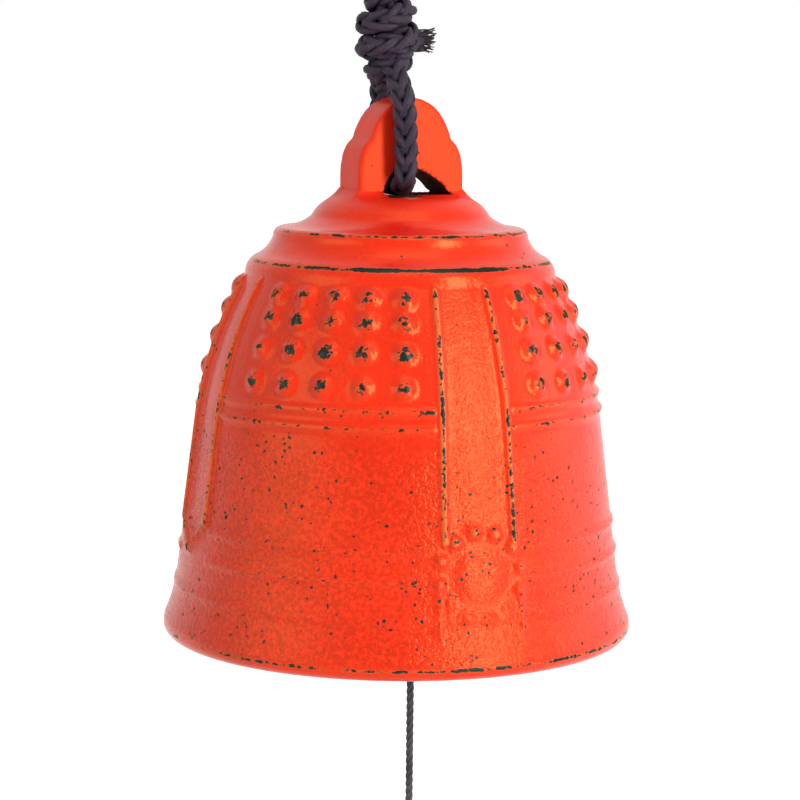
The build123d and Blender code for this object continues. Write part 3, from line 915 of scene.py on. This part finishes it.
# %% Raise the pattern
for name, (weights, lift) in reliefs.items():
    group = bell.vertex_groups.new(name=name)
    weights = np.where(is_outside, weights, 0.0)
    for index in np.flatnonzero(weights > 0.002):
        group.add([int(index)], float(weights[index]), "REPLACE")
    displace = bell.modifiers.new(name, "DISPLACE")
    displace.vertex_group = name
    displace.mid_level = 0
    displace.strength = lift * mm
    displace.direction = "NORMAL"
pick_out(bell)
for name in reliefs:
    bpy.ops.object.modifier_apply(modifier=name)
bell.vertex_groups.clear()


def keep_values(piece, name, values):
    """Stores one number for every point of a piece, for its finish to read."""
    piece.data.attributes.new(name, "FLOAT", "POINT").data.foreach_set("value", values.astype(np.float32))


facing = np.cos(np.radians(turn + 90))
front_wear = 0.78 + 0.22 * facing
front_step = 1 + 0.28 * rise(np.cos(np.radians(turn + 103)), 0.82, 0.96)
step_lines = np.maximum(rounded(height - 54.4, 0.68) * front_step, rounded(height - 58.8, 0.7) * 0.9)
lip_line = rounded(height - 0.1, 0.75) * 0.92
# The crown under the lug's arch is counted as not outside, so it gets the dark inside colour: painted shade
# in the hole.
tunnel_shade = in_hole & (np.abs(spots[:, 1]) < 4.1) & (height > 61)
keep_values(bell, "boss_top", np.where(is_outside, bosses, 0))
ridge_marks = np.maximum(ridges * (1 + 0.15 * (from_band < 0) * (height < 37)), petals) * front_wear
keep_values(bell, "ridge_top", np.where(is_outside, ridge_marks, 0))
keep_values(bell, "line_top", np.where(is_outside, np.maximum(skirt_lines * 0.75, beads), 0))
keep_values(bell, "step_edge", np.where(is_outside, np.maximum(step_lines, lip_line) * front_wear, 0))
keep_values(bell, "outer_side_unshaded", (is_outside & ~tunnel_shade).astype(float))
sand = 0.3 + 0.7 * (1 - rise(height, 26.0, 34.0)) + 1.3 * channel * (1 - side_band)
sand = np.minimum(sand, 1.0)
sand = sand * (1 - 0.5 * rise(height, 53.0, 57.0)) * rise(height, -0.6, 1.2)
keep_values(bell, "sand", np.where(is_outside, sand, 0.3))
print("relief raised:", ", ".join(reliefs))

# %% [markdown]
# ## The lug
#
# The plate on the crown has two parts: a broad foot and a narrower round arch on top, with a small step
# between them. Both are flat outlines made thick. A Remesh modifier turns the pair into one skin and a
# Smooth modifier wears down its edges and its step, as the sand mould does. The hole is cut afterwards,
# so its edge stays crisp: it is a low arch, where the cord lies at the left end.

# %% Shape the lug, as width and height above the crown in millimetres
crown_level = lip_level + crown_height
lug_thickness = 8.6
lug_root = -2.6
foot_line = [(8.2, lug_root), (8.2, 0.9), (8.2, 3.2), (8.08, 5.0)]
foot_line += [(7.8, 6.3), (7.4, 7.3), (6.95, 7.95), (6.5, 8.3)]
arch_line = [(6.3, 2.0), (6.25, 8.6), (6.0, 9.5), (5.55, 10.6), (5.0, 11.6)]
arch_line += [(4.2, 12.7), (3.1, 13.65), (1.6, 14.35), (0.03, 14.6)]
hole_route = [(-4.5, -2.6), (-4.45, 0.3), (-4.2, 1.5), (-3.7, 2.75), (-2.9, 3.9), (-1.8, 4.55)]
hole_route += [(-0.6, 4.6), (0.6, 4.35), (1.8, 3.86), (3.1, 3.15), (4.2, 2.45), (5.1, 1.65)]
hole_route += [(5.6, 0.95), (6.4, 0.5), (6.7, 0.2), (6.7, -2.6)]


def thick_plate(name, left, right, thickness):
    """A flat shape between two lines with the same number of points, made thick."""
    size = len(left)
    places = [(x * mm, -thickness / 2 * mm, (crown_level + z) * mm) for x, z in left + right]
    faces = [(index, index + 1, size + index + 1, size + index) for index in range(size - 1)]
    shape = bpy.data.meshes.new(name)
    shape.from_pydata(places, [], faces)
    piece = bpy.data.objects.new(name, shape)
    scene.collection.objects.link(piece)
    pick_out(piece)
    bpy.ops.object.mode_set(mode="EDIT")
    bpy.ops.mesh.select_all(action="SELECT")
    bpy.ops.mesh.extrude_region_move(TRANSFORM_OT_translate={"value": (0, thickness * mm, 0)})
    bpy.ops.mesh.select_all(action="SELECT")
    bpy.ops.mesh.normals_make_consistent(inside=False)
    bpy.ops.object.mode_set(mode="OBJECT")
    return piece


def other_side(line):
    return [(-x, z) for x, z in line]


lug = thick_plate("lug", other_side(foot_line), foot_line, lug_thickness)
lug_arch = thick_plate("lug_arch", other_side(arch_line), arch_line, lug_thickness)
hole_line = smooth_line("hole_line", [(x, 0, z) for x, z in hole_route]) / mm
hole_top = [(x, z) for x, y, z in even_steps(hole_line, 0.35)[0]]
hole_base = [(x, -2.8) for x in np.linspace(-4.5, 6.7, len(hole_top))]
hole_cutter = thick_plate("hole_cutter", hole_top, hole_base, lug_thickness + 4)

# %% Wear its edges and cut the hole
pick_out(lug_arch, lug)
bpy.ops.object.join()
skin = lug.modifiers.new("skin", "REMESH")
skin.mode = "VOXEL"
skin.voxel_size = 0.3 * mm
worn = lug.modifiers.new("worn", "SMOOTH")
worn.factor = 0.5
worn.iterations = 16
hole = lug.modifiers.new("hole", "BOOLEAN")
hole.operation = "DIFFERENCE"
hole.object = hole_cutter
for name in ("skin", "worn", "hole"):
    bpy.ops.object.modifier_apply(modifier=name)
bpy.data.objects.remove(hole_cutter)
bpy.ops.object.shade_smooth_by_angle(angle=radians(40))
lug_spots = np.array([vertex.co for vertex in lug.data.vertices]) / mm
lug_spots[:, 2] -= crown_level
hole_spots = even_steps(hole_line, 0.06)[0][:, [0, 2]]
aside = lug_spots[:, None, 0] - hole_spots[None, :, 0]
above = lug_spots[:, None, 2] - hole_spots[None, :, 1]
near_hole = np.hypot(aside, above).min(axis=1)
# The walls of the hole get the dark inside colour as well: painted shade.
keep_values(lug, "outer_side_unshaded", np.where(near_hole < 0.08, 0.0, 1.0))
keep_values(lug, "sand", np.full(len(lug_spots), 0.05))
print("lug:", len(lug.data.polygons), "faces")

# %% Join the lug to the wall
pick_out(lug, bell)
bpy.ops.object.join()
triangles = sum(len(face.vertices) - 2 for face in bell.data.polygons)
print("bell casting:", triangles, "triangles")

# %% [markdown]
# ## Paint
#
# The iron is painted vermilion over a black ground, and the paint is warm enough in its shine to look
# golden where the lamp is mirrored. High spots are rubbed through to the black: the tops of the bosses,
# the ridges and the edges of the steps. Every mask below is one of the stored weights with noise added,
# so its border is ragged as worn paint is. Fine grain of the sand mould breaks up the shine.

# %% Painted iron
def painted_iron():
    finish = Finish("painted_iron", specular_ior_level=0.5, specular_tint=rgb(1.0, 0.70, 0.22))
    broad = finish.noise(70.0, 2.0)
    patchy = finish.noise(150.0, 1.0)
    ragged = finish.noise(1350.0, 3.0, 0.65)
    grain = finish.noise(1600.0, 2.0, 0.6)
    dust = finish.noise(3000.0, 1.0, 0.5)
    broken = finish.noise(320.0, 2.0, 0.6)
    level = finish.node("ShaderNodeSeparateXYZ", {}, {"Vector": finish.place}, "Z")
    low_zone = 1.0 - level.between(-0.108, -0.094)
    above_lip = level.between(-0.1338, -0.1320)
    boss_top = finish.attribute("boss_top")
    ridge_top = finish.attribute("ridge_top")
    line_top = finish.attribute("line_top")
    step_edge = finish.attribute("step_edge")
    outer_side_unshaded = finish.attribute("outer_side_unshaded")
    sand = finish.attribute("sand")
    inside = 1.0 - outer_side_unshaded

    boss_wear = boss_top + (ragged - 0.5) * 1.6 + (patchy - 0.5) * 0.6
    ridge_wear = ridge_top * 0.72 + (ragged - 0.5) * 1.9 + (broken - 0.5) * 1.1
    step_wear = step_edge * 0.92 + (ragged - 0.5) * 1.0 + (broken - 0.5) * 1.0
    line_wear = line_top * 0.61 + (ragged - 0.5) * 1.8 + (broken - 0.5) * 1.1
    worn = boss_wear.between(0.79, 0.87) * boss_top.between(0.2, 0.4)
    worn = worn.most(ridge_wear.between(0.66, 0.74) * ridge_top.between(0.1, 0.3))
    worn = worn.most(step_wear.between(0.70, 0.76) * step_edge.between(0.1, 0.3))
    worn = worn.most(line_wear.between(0.64, 0.72) * line_top.between(0.1, 0.3))
    thin = (boss_wear.between(0.62, 0.86) * boss_top.between(0.2, 0.5)).most(step_wear.between(0.5, 0.72))
    # Gold along the tops of the ridges and the bead lines: partly paint worn thin, partly a painted
    # highlight along them.
    gold_and_painted_highlight = ridge_top.between(0.35, 0.95) * (broken + ragged - 0.25)
    gold_and_painted_highlight = gold_and_painted_highlight.most(line_top.between(0.5, 1.0) * broken * 0.35)

    sway = finish.noise(900.0, 2.0, 0.5, None, "Color")
    swayed = finish.node("ShaderNodeVectorMath", {"operation": "SCALE"}, {0: sway, "Scale": 0.0009})
    swayed = finish.node("ShaderNodeVectorMath", {"operation": "ADD"}, {0: finish.place, 1: swayed})
    cells = {"Vector": swayed, "Scale": 1220.0}
    cell_distance = finish.node("ShaderNodeTexVoronoi", {}, cells, "Distance")
    cell_colour = finish.node("ShaderNodeTexVoronoi", {}, cells, "Color")
    pick = finish.node("ShaderNodeSeparateColor", {}, {"Color": cell_colour}, "Red")
    crowd = finish.noise(110.0, 2.0, 0.6)
    speck_size = (pick + low_zone * 0.24 + (crowd - 0.5) * 1.0).between(0.76, 1.30) * 0.34
    speck = (speck_size - cell_distance).between(0.0, 0.06) * above_lip
    worn = worn.most(speck) * outer_side_unshaded

    red = finish.mix(broad.between(0.35, 0.65), rgb(0.76, 0.015, 0.005), rgb(0.86, 0.021, 0.007))
    # Darker in the pits of the sand grain and lighter on its tops, in step with the bump below: painted
    # shade and painted light of the grain.
    red = finish.mix(grain.between(0.60, 0.36) * sand * 0.6, red, rgb(0.48, 0.012, 0.005))
    red = finish.mix(grain.between(0.50, 0.70) * sand * 0.55, red, rgb(0.90, 0.038, 0.012))
    colour = finish.mix(thin * 0.45, red, rgb(0.40, 0.13, 0.035))
    # Painted highlight, with some worn-thin gold, on the ridge tops and bead lines.
    colour = finish.mix(gold_and_painted_highlight * 0.6, colour, rgb(0.74, 0.34, 0.08))
    colour = finish.mix(worn, colour, rgb(0.014, 0.028, 0.024))
    # Dark bare iron inside the bell; in the lug's hole and on the crown under it the same dark is painted
    # shade.
    colour = finish.mix(inside, colour, rgb(0.075, 0.010, 0.009))
    handled = level.between(-0.0725, -0.0690)
    gloss = 0.24 + (grain - 0.5) * 0.12 + worn * 0.08 + handled * 0.25 + inside * 0.7
    peel = finish.bump((grain + dust * 0.6) * (sand + 0.05 + inside * 2.0), 1.0, 0.00014)
    uneven = finish.bump(patchy + broken * 0.4, 0.6, 0.00025, peel)
    edge = finish.bump(1.0 - worn, 0.6, 0.00012, uneven)
    return finish.feed(base_color=colour, roughness=gloss, metallic=worn * 0.9, normal=edge)


bell.data.materials.clear()
bell.data.materials.append(painted_iron())
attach(bell, "bell")
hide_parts("bell")
print("finish:", bell.data.materials[0].name)

# %% [markdown]
# ## Clapper, wire eye and eyelet
#
# These small pieces keep their solids. Only their finish is added: black cast iron for the clapper, drawn
# wire for the eye and pressed brass for the eyelet.

# %% Finish the metal pieces
def cast_iron():
    finish = Finish("cast_iron", metallic=0.6, specular_ior_level=0.4)
    lumps = finish.noise(900.0, 4.0, 0.65)
    stains = finish.noise(180.0, 2.0)
    colour = finish.mix(stains.between(0.3, 0.7), rgb(0.028, 0.026, 0.025), rgb(0.060, 0.050, 0.043))
    relief = finish.bump(lumps, 0.5, 0.0002)
    return finish.feed(base_color=colour, roughness=0.45 + lumps * 0.25, normal=relief)


def drawn_metal(name, dark, light, roughness):
    finish = Finish(name, metallic=1.0)
    scratches = finish.noise(1400.0, 3.0, 0.7)
    colour = finish.mix(scratches.between(0.3, 0.7), dark, light)
    return finish.feed(base_color=colour, roughness=roughness + scratches * 0.2)


metal_pieces = {
    "clapper": cast_iron(),
    "clapper_eye": drawn_metal("steel_wire", rgb(0.16, 0.15, 0.14), rgb(0.34, 0.32, 0.30), 0.28),
    "strip_eyelet": drawn_metal("eyelet_brass", rgb(0.48, 0.32, 0.10), rgb(0.72, 0.52, 0.20), 0.22),
}
for node, finish in metal_pieces.items():
    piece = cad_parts[node]
    piece.data.materials.clear()
    piece.data.materials.append(finish)
print("metal pieces:", ", ".join(metal_pieces))

# %% [markdown]
# ## The paper strip
#
# A strip of thick paper, a little curled as paper is after a while in the open. It starts as a plane cut
# into a grid, is made thick, gets a hole for the eyelet and is curled point by point at the end.

# %% Cut, pierce and curl the strip
strip_width, strip_length, strip_top = 34.0, 112.0, -182.34
paper_thickness, eyelet_level, pierced_radius = 0.3, -188.34, 2.15
bpy.ops.object.select_all(action="DESELECT")
bpy.ops.mesh.primitive_grid_add(x_subdivisions=35, y_subdivisions=113, size=1)
strip = bpy.context.object
strip.name = strip.data.name = "paper_strip_sheet"
strip.scale = (strip_width * mm, strip_length * mm, 1)
strip.rotation_euler = (pi / 2, 0, 0)
strip.location = (string_offset * mm, 0, (strip_top - strip_length / 2) * mm)
bpy.ops.object.transform_apply(location=True, rotation=True, scale=True)
bpy.ops.mesh.primitive_cylinder_add(vertices=48, radius=pierced_radius * mm, depth=0.01)
punch = bpy.context.object
punch.location = (string_offset * mm, 0, eyelet_level * mm)
punch.rotation_euler = (pi / 2, 0, 0)
thicken = strip.modifiers.new("thicken", "SOLIDIFY")
thicken.thickness = paper_thickness * mm
thicken.offset = 0
pierce = strip.modifiers.new("pierce", "BOOLEAN")
pierce.operation = "DIFFERENCE"
pierce.object = punch
pick_out(strip)
bpy.ops.object.modifier_apply(modifier="thicken")
bpy.ops.object.modifier_apply(modifier="pierce")
bpy.data.objects.remove(punch)
for vertex in strip.data.vertices:
    x, z = vertex.co.x / mm - string_offset, strip_top - vertex.co.z / mm
    from_eyelet = max(0.0, (z - 10.0) / (strip_length - 10.0))
    curl = 1.6 * sin(from_eyelet * pi * 1.15) * from_eyelet
    cup = 0.0035 * x * x * from_eyelet
    vertex.co.y += (curl + cup) * mm
bpy.ops.object.shade_smooth_by_angle(angle=radians(40))


def plain_paper():
    finish = Finish("plain_paper", roughness=0.85, specular_ior_level=0.2)
    long_fibres = finish.node("ShaderNodeMapping", {}, {"Vector": finish.place, "Scale": (1.0, 1.0, 0.25)})
    fibres = finish.noise(900.0, 4.0, 0.65, long_fibres)
    clouds = finish.noise(60.0, 2.0)
    colour = finish.mix(clouds.between(0.3, 0.7), rgb(0.63, 0.57, 0.46), rgb(0.70, 0.65, 0.55))
    colour = finish.mix(fibres.between(0.58, 0.72) * 0.4, colour, rgb(0.52, 0.43, 0.31))
    return finish.feed(base_color=colour, normal=finish.bump(fibres, 0.3, 0.0001))


strip.data.materials.append(plain_paper())
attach(strip, "strip")
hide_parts("paper_strip")
print("strip:", len(strip.data.polygons), "faces")

# %% [markdown]
# ## Floor
#
# The floor lies under the strip. Seen by the camera it is white, as in a product picture, and it keeps the
# soft shadow of the lamps.

# %% Lay the floor
floor_level = -0.33
bpy.ops.object.select_all(action="DESELECT")
bpy.ops.mesh.primitive_plane_add(size=60, location=(0, 0, floor_level))
floor = bpy.context.object
floor.name = "floor"
bpy.ops.object.transform_apply(location=True)
floor_paint = bpy.data.materials.new("pale_floor")
floor_paint.use_nodes = True
floor_tree = floor_paint.node_tree
floor_tree.nodes.clear()
matt = floor_tree.nodes.new("ShaderNodeBsdfDiffuse")
matt.inputs["Color"].default_value = (0.85, 0.85, 0.85, 1)
glow = floor_tree.nodes.new("ShaderNodeEmission")
glow.inputs["Color"].default_value = (1, 1, 1, 1)
glow_strength = floor_tree.nodes.new("ShaderNodeMath")
glow_strength.operation = "MULTIPLY"
glow_strength.inputs[1].default_value = 0.8
both = floor_tree.nodes.new("ShaderNodeAddShader")
floor_output = floor_tree.nodes.new("ShaderNodeOutputMaterial")
floor_tree.links.new(seen_rays(floor_tree), glow_strength.inputs[0])
floor_tree.links.new(glow_strength.outputs[0], glow.inputs["Strength"])
floor_tree.links.new(matt.outputs[0], both.inputs[0])
floor_tree.links.new(glow.outputs[0], both.inputs[1])
floor_tree.links.new(both.outputs[0], floor_output.inputs["Surface"])
floor.data.materials.append(floor_paint)
print("floor at", floor_level, "m")
